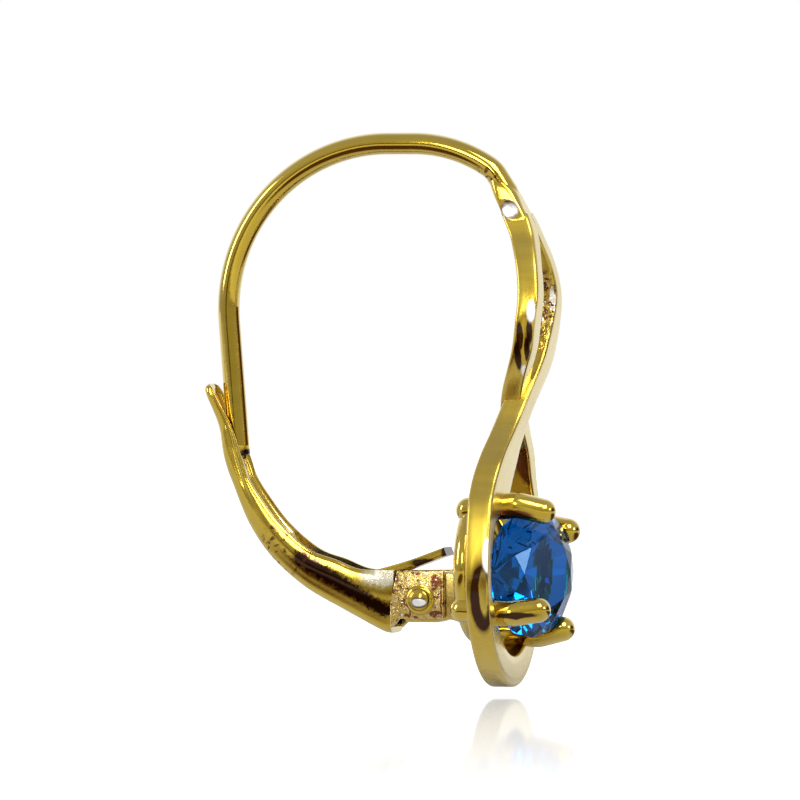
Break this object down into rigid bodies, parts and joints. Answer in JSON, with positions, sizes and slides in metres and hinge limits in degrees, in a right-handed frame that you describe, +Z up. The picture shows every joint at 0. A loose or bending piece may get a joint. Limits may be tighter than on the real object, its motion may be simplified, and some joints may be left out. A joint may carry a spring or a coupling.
{
  "type": "leverback earring",
  "caption": "Leverback earring with two crossed gold ribbons, a round faceted blue stone in four prongs and a hinged lever that closes on the ear wire.",
  "frame": {"origin": "underside of the crown of the ear wire, where the earring hangs on the ear", "axes": "+Z up, the earring's front faces -Y, the lever is behind at +Y, and X is along the hinge"},
  "size_m": [0.0084, 0.0142, 0.0212],
  "materials": {
    "gold": "polished yellow gold",
    "lever_gold": "yellow gold, satin at the hinge",
    "stone": "faceted deep blue gemstone"
  },
  "bodies": {
    "frame": {"swirl_frame": "gold", "stone": "stone"},
    "lever": {"lever": "lever_gold", "leaf_spring": "lever_gold", "hinge_rivet": "lever_gold"}
  },
  "joints": [
    {"name": "lever_hinge", "type": "hinge", "parent": "frame", "child": "lever", "pos_m": [0, -0.00102, -0.01709], "axis": [-1, 0, 0], "range_deg": [0, 45]}
  ]
}
